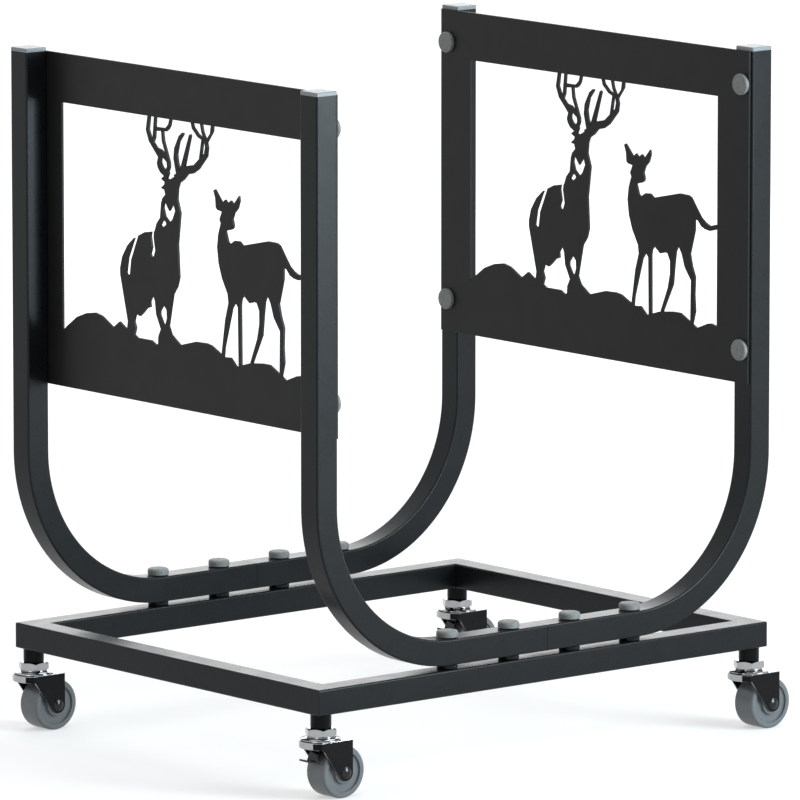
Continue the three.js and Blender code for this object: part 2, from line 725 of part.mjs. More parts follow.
function brakePedal() {
  const [pin, shoe, toe] = [pedalPin, pedalShoe, pedalToe].map(([x, z]) => new THREE.Vector2(x, z));
  const t = pedalSheet / 2;
  const across = (a, b) => {
    const along = b.clone().sub(a).normalize();
    return new THREE.Vector2(-along.y, along.x).multiplyScalar(t);
  };
  const web = across(pin, shoe);
  const tab = across(shoe, toe);
  const bend = web.clone().add(tab).divideScalar(1 + web.dot(tab) / (t * t));
  const strip = new THREE.Shape([
    pin.clone().add(web),
    pin.clone().sub(web),
    shoe.clone().sub(bend),
    toe.clone().sub(tab),
    toe.clone().add(tab),
    shoe.clone().add(bend),
  ]);
  const sheet = extruded(strip, pedalWidth)
    .rotateX(Math.PI / 2)
    .translate(0, pedalWidth / 2, crownTop);
  const at = [pin.x, 0, crownTop + pin.y];
  const barrel = prism("y", headSides, pedalBarrelRadius, -pedalWidth / 2, pedalWidth / 2, at);
  const shaft = prism("y", headSides, pedalPinRadius, -forkHalfWidth, forkHalfWidth, at);
  return geometryOf(joined([solidOf(sheet), barrel, shaft]));
}

// ---------------------------------------------------------------- assembly

const cart = new THREE.Group();

function place(name, geometry, material, position = [0, 0, 0], turn = 0) {
  const mesh = new THREE.Mesh(geometry, material);
  mesh.name = name;
  mesh.position.set(...position);
  mesh.rotation.z = turn;
  cart.add(mesh);
  return mesh;
}

place("base_frame", baseFrame(), blackPowderCoat);

const ends = { front: -frameY, rear: frameY };
const sides = { left: -1, right: 1 };
const tube = cradleTube();
const sleeve = joiningSleeve();
const cap = endCap();
const bolt = frameBolt();
const washer = spacer();
for (const [end, y] of Object.entries(ends)) {
  for (const [side, sign] of Object.entries(sides)) {
    const turn = sign < 0 ? Math.PI : 0;
    place(`cradle_tube_${end}_${side}`, tube, blackPowderCoat, [0, y, 0], turn);
    place(`end_cap_${end}_${side}`, cap, greyCap, [sign * postX, y, postEnd]);
  }
  place(`joining_sleeve_${end}`, sleeve, blackPowderCoat, [0, y, 0]);
  boltPlaces.forEach((x, k) => {
    place(`frame_bolt_${end}_${k + 1}`, bolt, greyHead, [x, y, boltSeat]);
    place(`spacer_${end}_${k + 1}`, washer, blackPlastic, [x, y, baseTop]);
  });
}

// Both panels lie on the inner faces of the posts, the same way round, with u towards -Y.
const panel = sidePanel();
const screw = panelScrew();
const levels = { bottom: screwHeights[0], top: screwHeights[1] };
for (const [side, sign] of Object.entries(sides)) {
  const backFace = sign < 0 ? -postFace + panelThickness : postFace;
  const drawnToCart = new THREE.Matrix4().makeBasis(
    new THREE.Vector3(0, -1, 0),
    new THREE.Vector3(0, 0, 1),
    new THREE.Vector3(-1, 0, 0),
  );
  const seat = new THREE.Vector3(backFace, 0, panelBottom);
  place(`side_panel_${side}`, panel, blackPowderCoat).applyMatrix4(drawnToCart.setPosition(seat));
  for (const [end, y] of Object.entries(ends))
    for (const [level, z] of Object.entries(levels)) {
      const inside = sign * (postFace - panelThickness);
      const turn = sign < 0 ? 0 : Math.PI;
      place(`panel_screw_${side}_${end}_${level}`, screw, greyHead, [inside, y, z], turn);
    }
}

const stem = casterStem();
const nut = lockNut();
const plainFork = casterFork(false);
const brakeFork = casterFork(true);
const wheel = casterWheel();
const axle = casterAxle();
const pedal = brakePedal();
const braked = ["front_left", "rear_right"];
const nutTurn = Math.PI / 6; // so that each lock nut has a corner to the left and the right
for (const [end, y] of Object.entries(ends))
  for (const [side, sign] of Object.entries(sides)) {
    const corner = `${end}_${side}`;
    const at = [sign * casterX, y, 0];
    const atAxle = [sign * casterX + trail, y, wheelRadius];
    const fork = braked.includes(corner) ? brakeFork : plainFork;
    place(`caster_stem_${corner}`, stem, chrome, at);
    place(`caster_nut_${corner}`, nut, chrome, at, nutTurn);
    place(`caster_fork_${corner}`, fork, chrome, at);
    place(`caster_wheel_${corner}`, wheel, darkPlastic, atAxle);
    place(`caster_axle_${corner}`, axle, chrome, atAxle);
    if (braked.includes(corner)) place(`brake_pedal_${corner}`, pedal, chrome, at);
  }

// The casters trail to one side, so the middle of the footprint is found from the whole cart.
const footprint = new THREE.Box3().setFromObject(cart, true).getCenter(new THREE.Vector3());
cart.position.set(-footprint.x, -footprint.y, 0);

export default cart;
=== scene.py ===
"""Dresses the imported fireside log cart: round-cornered tubes, cut-out deer panels, bolts and casters.

Laid out as a Blender add-on and run as a script. Everything is in metres, in the frame of the
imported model, and each piece stands where the solid that it replaces is.
"""

import json
import math

import bmesh
import bpy
from mathutils import Matrix, Vector

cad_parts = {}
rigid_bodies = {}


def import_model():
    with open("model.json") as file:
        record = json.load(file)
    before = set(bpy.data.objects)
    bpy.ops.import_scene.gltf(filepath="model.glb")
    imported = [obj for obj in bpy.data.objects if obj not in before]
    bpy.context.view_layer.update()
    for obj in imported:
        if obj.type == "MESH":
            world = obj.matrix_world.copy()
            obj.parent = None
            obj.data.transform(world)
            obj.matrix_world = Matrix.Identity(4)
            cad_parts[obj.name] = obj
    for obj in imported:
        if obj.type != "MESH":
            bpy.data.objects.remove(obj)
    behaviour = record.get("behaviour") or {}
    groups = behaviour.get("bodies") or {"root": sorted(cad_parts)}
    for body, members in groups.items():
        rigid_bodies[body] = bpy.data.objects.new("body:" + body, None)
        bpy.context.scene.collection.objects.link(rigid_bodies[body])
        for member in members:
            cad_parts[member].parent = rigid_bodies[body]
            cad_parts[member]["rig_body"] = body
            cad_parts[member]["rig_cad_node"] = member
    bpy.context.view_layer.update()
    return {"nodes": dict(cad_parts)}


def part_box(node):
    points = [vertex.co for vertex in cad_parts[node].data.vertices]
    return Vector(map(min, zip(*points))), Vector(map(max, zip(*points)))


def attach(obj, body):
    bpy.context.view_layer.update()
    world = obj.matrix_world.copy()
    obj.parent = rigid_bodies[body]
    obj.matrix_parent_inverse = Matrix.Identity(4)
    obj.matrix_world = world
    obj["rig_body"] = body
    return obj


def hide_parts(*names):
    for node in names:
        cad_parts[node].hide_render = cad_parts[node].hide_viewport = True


bl_info = {
    "name": "Fireside Log Cart",
    "version": (1, 0, 0),
    "blender": (4, 5, 0),
    "location": "View3D > Sidebar > Log Cart",
    "description": "Builds the tubes, deer panels, bolts and casters of a fireside log cart",
    "category": "Object",
}

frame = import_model()

ENDS = {"front": -1, "rear": 1}
SIDES = {"left": -1, "right": 1}
CORNERS = [(end, side) for end in ENDS for side in SIDES]
BRAKED = ["front_left", "rear_right"]
CLEARANCE = 0.0003  # room round and beside what turns or slides in
EDGE_ANGLE = 35  # degrees; sharper edges than this are rounded

base_low, base_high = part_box("base_frame")
tube_low, tube_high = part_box("cradle_tube_front_right")
cap_low, cap_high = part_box("end_cap_front_right")
bolt_low, bolt_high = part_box("frame_bolt_front_1")
spacer_low, spacer_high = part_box("spacer_front_1")
screw_low, screw_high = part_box("panel_screw_right_front_top")
stem_low, stem_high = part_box("caster_stem_front_left")
nut_low, nut_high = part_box("caster_nut_front_left")
fork_low, fork_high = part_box("caster_fork_front_left")
wheel_low, wheel_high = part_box("caster_wheel_front_left")


def middle(node):
    """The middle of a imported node's box."""
    low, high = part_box(node)
    return (low + high) / 2


# ------------------------------------------------------------------ sizes and colours


def length(name, description, default):
    return bpy.props.FloatProperty(
        name=name, description=description, default=default, min=0.0, unit="LENGTH", precision=5
    )


def colour(name, description, default):
    return bpy.props.FloatVectorProperty(
        name=name, description=description, default=default, subtype="COLOR", min=0.0, max=1.0
    )


class LogCartSizes(bpy.types.PropertyGroup):
    """The sizes of the cart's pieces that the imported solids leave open."""

    tube_side: length("Tube Side", "Side of the square tube", tube_high.y - tube_low.y)
    tube_rounding: length("Tube Rounding", "Outer corner radius of the tube", 0.0015)
    bend_radius: length("Bend Radius", "Radius of the cradle's bends, at the tube's middle", 0.122)
    bend_steps: bpy.props.IntProperty(
        name="Bend Steps", description="Steps round each bend", default=36, min=4
    )
    mitre_rounding: length("Mitre Rounding", "Rounding of the base frame's corners", 0.0005)
    cap_rounding: length("Cap Rounding", "Rounding of the end caps' rims", 0.0008)
    sheet_rounding: length("Sheet Rounding", "Rounding of the panels' cut edges", 0.00008)
    bolt_shank: length("Bolt Shank", "Radius of the cradle bolts' shanks", 0.004)
    screw_shank: length("Screw Shank", "Radius of the panel screws' shanks", 0.003)
    bolt_head: length("Bolt Head", "Height of the cradle bolts' heads", 0.005)
    bolt_rounding: length("Bolt Rounding", "Rounding of the cradle bolts' heads", 0.0019)
    screw_head: length("Screw Head", "Height of the panel screws' heads", 0.0032)
    screw_rounding: length("Screw Rounding", "Rounding of the panel screws' heads", 0.0011)
    socket_radius: length("Socket Radius", "Radius of the caster sockets", 0.008)
    socket_height: length("Socket Height", "Height of the caster sockets", 0.0105)
    stem_radius: length("Stem Radius", "Radius of the caster stems", 0.005)
    fork_sheet: length("Fork Sheet", "Thickness of the forks' steel", 0.0015)
    wheel_trail: length("Wheel Trail", "Distance of the axle behind the stem", 0.014)
    axle_radius: length("Axle Radius", "Radius of the wheel axles", 0.003)


class LogCartColours(bpy.types.PropertyGroup):
    """The colours of the cart's finishes."""

    tube_coat: colour("Tube Coat", "Powder coat of the tubes", (0.0058, 0.0070, 0.0080))
    sheet_coat: colour("Sheet Coat", "Powder coat of the panels", (0.0082, 0.0083, 0.0084))
    head_grey: colour("Head Grey", "Bolt and screw heads", (0.196, 0.203, 0.200))
    cap_grey: colour("Cap Grey", "End caps of the posts", (0.215, 0.236, 0.246))
    spacer_black: colour("Spacer Black", "Spacers under the cradle", (0.006, 0.006, 0.007))
    bright_steel: colour("Bright Steel", "Plated steel of the casters", (0.36, 0.365, 0.37))
    # painted dark reflection: the fork's side plates are the same plated steel as the crown, drawn
    # near-black
    side_plate_painted_reflection: colour("Painted Reflection Steel", "Side plates of the forks", (0.0045, 0.0045, 0.005))
    # painted shade and dark reflection: the rivets and pedals are the same plated steel, drawn darker
    painted_shade_steel: colour("Painted Shade Steel", "Rivets and brake pedals", (0.034, 0.035, 0.036))
    wheel_grey: colour("Wheel Grey", "Plastic of the wheels", (0.122, 0.132, 0.139))
    floor_white: colour("Floor White", "Studio floor", (0.60, 0.60, 0.60))


def sizes():
    return bpy.context.scene.log_cart_sizes


def colours():
    return bpy.context.scene.log_cart_colours


# ------------------------------------------------------------------ modelling


def start(name, primitive, **settings):
    """Adds a primitive while nothing else is selected, names it and opens it for editing."""
    if bpy.context.mode != "OBJECT":
        bpy.ops.object.mode_set(mode="OBJECT")
    bpy.ops.object.select_all(action="DESELECT")
    primitive(**settings)
    piece = bpy.context.active_object
    piece.name = name
    piece.data.name = name
    bpy.ops.object.mode_set(mode="EDIT")
    bpy.ops.mesh.select_mode(type="FACE")
    bpy.ops.mesh.select_all(action="SELECT")
    return piece


def select_only(*pieces):
    if bpy.context.mode != "OBJECT":
        bpy.ops.object.mode_set(mode="OBJECT")
    bpy.ops.object.select_all(action="DESELECT")
    for piece in pieces:
        piece.select_set(True)
    bpy.context.view_layer.objects.active = pieces[0]


def pick(kind, test):
    """Selects the faces or edges of the mesh being edited that pass a test."""
    bpy.ops.mesh.select_mode(type=kind)
    bpy.ops.mesh.select_all(action="DESELECT")
    mesh = bpy.context.edit_object.data
    editing = bmesh.from_edit_mesh(mesh)
    for part in editing.faces if kind == "FACE" else editing.edges:
        if test(part):
            part.select_set(True)
    editing.select_flush_mode()
    bmesh.update_edit_mesh(mesh)


def edge_middle(edge):
    return (edge.verts[0].co + edge.verts[1].co) / 2


def edge_along(edge):
    return (edge.verts[1].co - edge.verts[0].co).normalized()


def extrude(offset):
    bpy.ops.mesh.extrude_region_move(TRANSFORM_OT_translate={"value": offset})


def settle(piece, smooth_below=32):
    """Puts a finished piece's place in its mesh, with faces outward and smooth curves."""
    select_only(piece)
    bpy.ops.object.transform_apply(location=True, rotation=True, scale=True)
    bpy.ops.object.mode_set(mode="EDIT")
    bpy.ops.mesh.select_all(action="SELECT")
    bpy.ops.mesh.remove_doubles(threshold=1e-6)
    bpy.ops.mesh.normals_make_consistent(inside=False)
    bpy.ops.object.mode_set(mode="OBJECT")
    bpy.ops.object.shade_smooth_by_angle(angle=math.radians(smooth_below))
    return piece


def flatten_shading(piece):
    """Lets the large faces keep their own normals, so that flats look flat beside roundings."""
    apply_modifier(piece, "WEIGHTED_NORMAL", mode="FACE_AREA", weight=80, keep_sharp=True)
    return piece


def apply_modifier(piece, kind, **settings):
    select_only(piece)
    modifier = piece.modifiers.new("finishing", kind)
    for key, value in settings.items():
        setattr(modifier, key, value)
    bpy.ops.object.modifier_apply(modifier=modifier.name)


def combine(piece, tool, operation):
    """Cuts a tool out of a piece, or keeps what both share. The tool is used up."""
    apply_modifier(piece, "BOOLEAN", object=tool, operation=operation, solver="EXACT")
    bpy.data.objects.remove(tool)


def soften(piece, width, segments=2):
    """Rounds the sharp edges of a piece."""
    apply_modifier(
        piece,
        "BEVEL",
        width=width,
        segments=segments,
        limit_method="ANGLE",
        angle_limit=math.radians(EDGE_ANGLE),
        miter_outer="MITER_ARC",
        use_clamp_overlap=True,
    )


def quarter(centre_radius, centre_height, radius, steps=6, rising=True):
    """Rings round a quarter circle, from its side to its top, or from its foot to its side."""
    rings = []
    for k in range(steps + 1):
        angle = math.pi / 2 * k / steps
        if not rising:
            angle -= math.pi / 2
        rings.append(
            (centre_radius + radius * math.cos(angle), centre_height + radius * math.sin(angle))
        )
    return rings


def turned(name, rings, segments=64):
    """A piece turned about Z: a disc drawn up ring by ring, each (radius, height)."""
    radius, height = rings[0]
    piece = start(
        name,
        bpy.ops.mesh.primitive_circle_add,
        vertices=segments,
        radius=radius,
        fill_type="NGON",
        location=(0, 0, height),
    )
    for next_radius, next_height in rings[1:]:
        extrude((0, 0, next_height - height))
        grow = next_radius / radius
        if abs(grow - 1) > 1e-9:
            bpy.ops.transform.resize(
                value=(grow, grow, 1), center_override=(0, 0, next_height)
            )
        radius, height = next_radius, next_height
    return flatten_shading(settle(piece))


def drill(piece, radius, cap_radius):
    """Opens a round bore through a turned piece, from one flat end to the other."""
    select_only(piece)
    bpy.ops.object.mode_set(mode="EDIT")
    ends = [min(v.co.z for v in piece.data.vertices), max(v.co.z for v in piece.data.vertices)]
    pick(
        "FACE",
        lambda face: len(face.verts) > 4
        and min(abs(face.calc_center_median().z - z) for z in ends) < 1e-6,
    )
    bpy.ops.mesh.inset(thickness=cap_radius - radius, use_individual=True)
    bpy.ops.mesh.delete(type="ONLY_FACE")
    pick("EDGE", lambda edge: edge.is_boundary)
    bpy.ops.mesh.bridge_edge_loops()
    return flatten_shading(settle(piece))


def slice_off(piece, angle, distance):
    """Cuts a flat on a turned piece, upright and so far from its axis, and closes it."""
    select_only(piece)
    bpy.ops.object.mode_set(mode="EDIT")
    bpy.ops.mesh.select_all(action="SELECT")
    side = Vector((math.cos(angle), math.sin(angle), 0))
    bpy.ops.mesh.bisect(
        plane_co=side * distance, plane_no=side, use_fill=True, clear_outer=True
    )
    bpy.ops.object.mode_set(mode="OBJECT")


def plate(name, outline, depth):
    """A flat plate on the XY plane: a many-sided disc drawn out to an outline, then thickened."""
    piece = start(
        name,
        bpy.ops.mesh.primitive_circle_add,
        vertices=len(outline),
        radius=0.01,
        fill_type="NGON",
    )
    editing = bmesh.from_edit_mesh(piece.data)
    for vertex, (x, y) in zip(editing.verts, outline):
        vertex.co = (x, y, 0)
    bmesh.update_edit_mesh(piece.data)
    extrude((0, 0, depth))
    return settle(piece)


def arc(centre, radius, start_angle, end_angle, steps):
    """Points round an arc, with angles in radians."""
    return [
        (
            centre[0] + radius * math.cos(start_angle + (end_angle - start_angle) * k / steps),
            centre[1] + radius * math.sin(start_angle + (end_angle - start_angle) * k / steps),
        )
        for k in range(steps + 1)
    ]


def copy_of(piece, name, place):
    """A copy with a mesh of its own, put in its place."""
    copy = piece.copy()
    copy.data = piece.data.copy()
    copy.name = name
    copy.data.name = name
    copy.data.transform(place)
    bpy.context.collection.objects.link(copy)
    return copy


def discard(*pieces):
    for piece in pieces:
        bpy.data.objects.remove(piece)


def dress(piece, slot, *nodes, finish=None):
    """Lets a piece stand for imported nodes, on their body, with their finish."""
    if finish is not None:
        piece.data.materials.clear()
        piece.data.materials.append(finish)
    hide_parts(*nodes)
    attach(piece, frame["nodes"][nodes[0]]["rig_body"])


# ------------------------------------------------------------------ finishes


class Finish:
    """A material with a Principled shader and the patterns on it, in Object coordinates."""

    def __init__(self, name):
        self.material = bpy.data.materials.get(name) or bpy.data.materials.new(name)
        self.material.use_nodes = True
        self.nodes = self.material.node_tree.nodes
        self.links = self.material.node_tree.links
        self.nodes.clear()
        self.output = self.add("ShaderNodeOutputMaterial")
        self.shader = self.add("ShaderNodeBsdfPrincipled")
        self.links.new(self.shader.outputs["BSDF"], self.output.inputs["Surface"])
        self.place = self.add("ShaderNodeTexCoord").outputs["Object"]

    def add(self, kind, **settings):
        node = self.nodes.new(kind)
        for key, value in settings.items():
            setattr(node, key, value)
        return node

    def set(self, **values):
        for key, value in values.items():
            self.shader.inputs[key.replace("_", " ")].default_value = value
        return self

    def noise(self, grain, detail=3.0, roughness=0.55):
        """A noise whose features are about so many metres across."""
        noise = self.add("ShaderNodeTexNoise")
        noise.inputs["Scale"].default_value = 1.0 / grain
        noise.inputs["Detail"].default_value = detail
        noise.inputs["Roughness"].default_value = roughness
        self.links.new(self.place, noise.inputs["Vector"])
        return noise.outputs["Fac"]

    def between(self, value, low, high):
        """The usual range of a noise, spread between two numbers."""
        spread = self.add("ShaderNodeMapRange")
        spread.inputs["From Min"].default_value = 0.3
        spread.inputs["From Max"].default_value = 0.7
        spread.inputs["To Min"].default_value = low
        spread.inputs["To Max"].default_value = high
        self.links.new(value, spread.inputs["Value"])
        return spread.outputs["Result"]

    def vary_roughness(self, value, low, high):
        self.links.new(self.between(value, low, high), self.shader.inputs["Roughness"])
        return self

    def vary_colour(self, value, dark, light):
        mix = self.add("ShaderNodeMix", data_type="RGBA")
        mix.inputs["A"].default_value = (*dark, 1)
        mix.inputs["B"].default_value = (*light, 1)
        self.links.new(self.between(value, 0, 1), mix.inputs["Factor"])
        self.links.new(mix.outputs["Result"], self.shader.inputs["Base Color"])
        return self

    def bump(self, value, height, strength):
        bump = self.add("ShaderNodeBump")
        bump.inputs["Strength"].default_value = strength
        bump.inputs["Distance"].default_value = height
        self.links.new(value, bump.inputs["Height"])
        self.links.new(bump.outputs["Normal"], self.shader.inputs["Normal"])
        return self


def scaled(tint, factor):
    return tuple(min(1.0, channel * factor) for channel in tint)


def powder_coat():
    """Black powder coat of the tubes: a soft gloss with a fine orange peel."""
    tint = tuple(colours().tube_coat)
    coat = Finish("tube powder coat").set(Metallic=0.0, IOR=1.45, Specular_IOR_Level=0.20)
    coat.vary_colour(coat.noise(0.06, 4), scaled(tint, 0.88), scaled(tint, 1.14))
    coat.vary_roughness(coat.noise(0.018, 4), 0.25, 0.31)
    coat.bump(coat.noise(0.0022, 2), 0.000004, 0.12)
    return coat.material


def socket_coat_painted_reflection():
    """The coat on the caster sockets, thin and glossy over the turned steel, drawn at half the tubes'
    colour and with a weaker reflection: painted dark reflection.
    """
    # half the tube coat's colour: painted dark reflection on the same coat
    tint = scaled(tuple(colours().tube_coat), 0.5)
    coat = Finish("socket coat with painted dark reflection").set(Metallic=0.0, IOR=1.45, Specular_IOR_Level=0.10)
    coat.vary_colour(coat.noise(0.01, 4), scaled(tint, 0.8), scaled(tint, 1.2))
    coat.vary_roughness(coat.noise(0.006, 4), 0.10, 0.18)
    coat.bump(coat.noise(0.0016, 2), 0.00001, 0.3)
    return coat.material


def sheet_coat():
    """The same coat on the sheet, a little flatter."""
    tint = tuple(colours().sheet_coat)
    coat = Finish("sheet powder coat").set(Metallic=0.0, IOR=1.45, Specular_IOR_Level=0.22)
    coat.vary_colour(coat.noise(0.07, 4), scaled(tint, 0.9), scaled(tint, 1.1))
    coat.vary_roughness(coat.noise(0.02, 4), 0.38, 0.46)
    coat.bump(coat.noise(0.0020, 2), 0.00001, 0.3)
    return coat.material


def head_finish():
    """Grey finish of the bolt and screw heads, faintly mottled."""
    tint = tuple(colours().head_grey)
    head = Finish("grey head finish").set(Metallic=0.0, IOR=1.45, Specular_IOR_Level=0.4)
    head.vary_colour(head.noise(0.0022, 4, 0.6), scaled(tint, 0.82), scaled(tint, 1.16))
    head.vary_roughness(head.noise(0.003, 3), 0.46, 0.60)
    head.bump(head.noise(0.0007, 3), 0.00004, 0.6)
    return head.material


def cap_plastic():
    """Moulded plastic of the end caps."""
    tint = tuple(colours().cap_grey)
    cap = Finish("cap plastic").set(Metallic=0.0, IOR=1.47, Specular_IOR_Level=0.5)
    cap.vary_colour(cap.noise(0.008, 3), scaled(tint, 0.93), scaled(tint, 1.07))
    cap.vary_roughness(cap.noise(0.004, 3), 0.30, 0.40)
    cap.bump(cap.noise(0.0005, 3), 0.00002, 0.5)
    return cap.material


def spacer_plastic():
    """Black moulded plastic of the spacers."""
    tint = tuple(colours().spacer_black)
    spacer = Finish("spacer plastic").set(Metallic=0.0, IOR=1.47, Specular_IOR_Level=0.16)
    spacer.vary_colour(spacer.noise(0.004, 3), scaled(tint, 0.8), scaled(tint, 1.2))
    spacer.vary_roughness(spacer.noise(0.003, 3), 0.10, 0.16)
    spacer.bump(spacer.noise(0.0006, 2), 0.00002, 0.4)
    return spacer.material


def plated(name, tint):
    """Plated steel, with the faint waviness and haze of small pressed parts."""
    plating = Finish(name).set(Metallic=1.0)
    plating.vary_colour(plating.noise(0.005, 3), scaled(tint, 0.94), scaled(tint, 1.04))
    plating.vary_roughness(plating.noise(0.004, 4), 0.05, 0.12)
    plating.bump(plating.noise(0.005, 2), 0.00008, 0.8)
    return plating.material


def bright_plating():
    """Plating of the stems, nuts, races and crowns."""
    return plated("bright plating", tuple(colours().bright_steel))


def painted_shade_plating():
    """The same plating on the rivets and the brake pedals, darkened as painted shade and painted dark
    reflection.
    """
    return plated("plating with painted shade", tuple(colours().painted_shade_steel))


def painted_reflection_plating():
    """Painted dark reflection on the fork's side plates, which look near-black beside the bright crown
    though they are the same plated steel.
    """
    tint = tuple(colours().side_plate_painted_reflection)
    plating = Finish("plating with painted dark reflection").set(Metallic=0.0, IOR=1.5, Specular_IOR_Level=0.10)
    plating.vary_colour(plating.noise(0.006, 3), scaled(tint, 0.85), scaled(tint, 1.15))
    plating.vary_roughness(plating.noise(0.004, 4), 0.26, 0.34)
    plating.bump(plating.noise(0.004, 2), 0.00004, 0.5)
    return plating.material


def wheel_plastic():
    """Hard grey plastic of the wheels, slightly scuffed."""
    tint = tuple(colours().wheel_grey)
    plastic = Finish("wheel plastic").set(Metallic=0.0, IOR=1.5, Specular_IOR_Level=0.5)
    plastic.vary_colour(plastic.noise(0.009, 5, 0.6), scaled(tint, 0.9), scaled(tint, 1.1))
    plastic.vary_roughness(plastic.noise(0.003, 4), 0.28, 0.38)
    plastic.bump(plastic.noise(0.0006, 3), 0.00003, 0.5)
    return plastic.material


# ------------------------------------------------------------------ pieces


class LOGCART_OT_base_frame(bpy.types.Operator):
    """Build the mitred base frame with its four caster sockets"""

    bl_idname = "logcart.base_frame"
    bl_label = "Build Base Frame"
    bl_options = {"REGISTER", "UNDO"}

    def execute(self, context):
        side = sizes().tube_side
        width = base_high.x - base_low.x
        depth = base_high.y - base_low.y
        centre = Vector(((base_low.x + base_high.x) / 2, 0, base_high.z - side / 2))
        loop = start(
            "base_tube_loop", bpy.ops.mesh.primitive_cube_add, size=1, location=centre,
            scale=(width, depth, side),
        )
        bpy.ops.object.mode_set(mode="OBJECT")
        bpy.ops.object.transform_apply(location=False, rotation=False, scale=True)
        bpy.ops.object.mode_set(mode="EDIT")
        pick("FACE", lambda face: abs(face.normal.z) > 0.9)
        bpy.ops.mesh.inset(thickness=side, use_individual=True)
        bpy.ops.mesh.delete(type="FACE")
        pick("EDGE", lambda edge: edge.is_boundary)
        bpy.ops.mesh.bridge_edge_loops()
        pick(
            "EDGE",
            lambda edge: abs(edge_along(edge).z) < 0.1
            and min(abs(edge_along(edge).x), abs(edge_along(edge).y)) < 0.01,
        )
        bpy.ops.mesh.bevel(offset=sizes().tube_rounding, segments=5, affect="EDGES")
        pick(
            "EDGE",
            lambda edge: abs(edge_along(edge).z) > 0.99
            and abs(edge_middle(edge).x) > width / 2 - side / 2,
        )
        bpy.ops.mesh.bevel(offset=sizes().mitre_rounding, segments=3, affect="EDGES")
        settle(loop, 28)
        flatten_shading(loop)

        rim = 0.0006
        radius, foot = sizes().socket_radius, base_high.z - side - sizes().socket_height
        socket = turned(
            "socket",
            [(radius - rim, foot)]
            + quarter(radius - rim, foot + rim, rim, 3, rising=False)[1:]
            + [(radius, foot + rim), (radius, base_high.z - side + 0.0005)],
        )
        places = [
            Matrix.Translation((middle(f"caster_stem_{e}_{s}").x, middle(f"caster_stem_{e}_{s}").y, 0))
            for e, s in CORNERS
        ]
        loop.data.materials.append(powder_coat())
        # the sockets take the darkened coat, a painted dark reflection
        socket.data.materials.append(socket_coat_painted_reflection())
        sockets = [copy_of(socket, f"socket_{k}", place) for k, place in enumerate(places)]
        discard(socket)
        select_only(loop, *sockets)
        bpy.ops.object.join()
        dress(loop, "powder_coat", "base_frame")
        return {"FINISHED"}


class LOGCART_OT_cradle_tubes(bpy.types.Operator):
    """Build the four bent halves of the cradle's two U frames"""

    bl_idname = "logcart.cradle_tubes"
    bl_label = "Build Cradle Tubes"
    bl_options = {"REGISTER", "UNDO"}

    def execute(self, context):
        side, bend = sizes().tube_side, sizes().bend_radius
        post_x = tube_high.x - side / 2
        y = (tube_low.y + tube_high.y) / 2
        floor_z = tube_low.z + side / 2
        half = start(
            "cradle_half", bpy.ops.mesh.primitive_plane_add, size=side,
            location=(post_x, y, tube_high.z),
        )
        bpy.ops.mesh.select_mode(type="VERT")
        bpy.ops.mesh.bevel(offset=sizes().tube_rounding, segments=5, affect="VERTICES")
        bpy.ops.mesh.select_mode(type="FACE")
        bpy.ops.mesh.select_all(action="SELECT")
        extrude((0, 0, floor_z + bend - tube_high.z))
        bpy.ops.mesh.spin(
            steps=sizes().bend_steps, angle=-math.pi / 2,
            center=(post_x - bend, y, floor_z + bend), axis=(0, 1, 0),
        )
        extrude((tube_low.x - (post_x - bend), 0, 0))
        settle(half, 40)
        flatten_shading(half)
        coat = powder_coat()
        middle_x = (tube_low.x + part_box("cradle_tube_front_left")[1].x) / 2
        about = Matrix.Translation((middle_x, y, 0)) @ Matrix.Rotation(math.pi, 4, "Z")
        turn = about @ Matrix.Translation((-middle_x, -y, 0))
        for end, side_name in CORNERS:
            node = f"cradle_tube_{end}_{side_name}"
            across = Matrix.Translation((0, middle(node).y - y, 0))
            copy = copy_of(
                half, f"bent_tube_{end}_{side_name}", across @ (turn if side_name == "left" else Matrix())
            )
            dress(copy, "powder_coat", node, finish=coat)
        discard(half)
        return {"FINISHED"}


class LOGCART_OT_end_caps(bpy.types.Operator):
    """Build the caps on the open ends of the posts"""

    bl_idname = "logcart.end_caps"
    bl_label = "Build End Caps"
    bl_options = {"REGISTER", "UNDO"}

    def execute(self, context):
        side = sizes().tube_side
        flange = cap_high.z - tube_high.z
        cap = start(
            "cap", bpy.ops.mesh.primitive_cube_add, size=1, location=(0, 0, flange / 2),
            scale=(side, side, flange),
        )
        bpy.ops.object.mode_set(mode="OBJECT")
        bpy.ops.object.transform_apply(location=True, rotation=False, scale=True)
        bpy.ops.object.mode_set(mode="EDIT")
        pick("EDGE", lambda edge: abs(edge_along(edge).z) > 0.9)
        bpy.ops.mesh.bevel(offset=sizes().tube_rounding, segments=5, affect="EDGES")
        pick("FACE", lambda face: face.normal.z > 0.9)
        bpy.ops.mesh.region_to_loop()
        bpy.ops.mesh.bevel(offset=sizes().cap_rounding, segments=4, affect="EDGES")
        pick("FACE", lambda face: face.normal.z < -0.9)
        bpy.ops.mesh.inset(thickness=0.002)
        extrude((0, 0, -(tube_high.z - cap_low.z)))
        settle(cap, 32)
        flatten_shading(cap)
        plastic = cap_plastic()
        for end, side_name in CORNERS:
            node = f"end_cap_{end}_{side_name}"
            place = Matrix.Translation((middle(node).x, middle(node).y, tube_high.z))
            copy = copy_of(cap, f"post_cap_{end}_{side_name}", place)
            dress(copy, "cap_plastic", node, finish=plastic)
        discard(cap)
        return {"FINISHED"}


def headed(name, radius, height, rounding, shank, depth):
    """A bolt or screw about Z with a low round head, a faint ring on it, and its seat at 0."""
    ring = radius - rounding
    return turned(
        name,
        [(shank - 0.0006, -depth), (shank, -depth + 0.0006), (shank, 0)]
        + [(radius - 0.0003, 0), (radius, 0.0003)]
        + quarter(radius - rounding, height - rounding, rounding)
        + [(ring - 0.0006, height), (ring - 0.0009, height - 0.00018)]
        + [(ring - 0.0012, height), (0.0012, height), (0.0006, height - 0.0002)],
        48,
    )


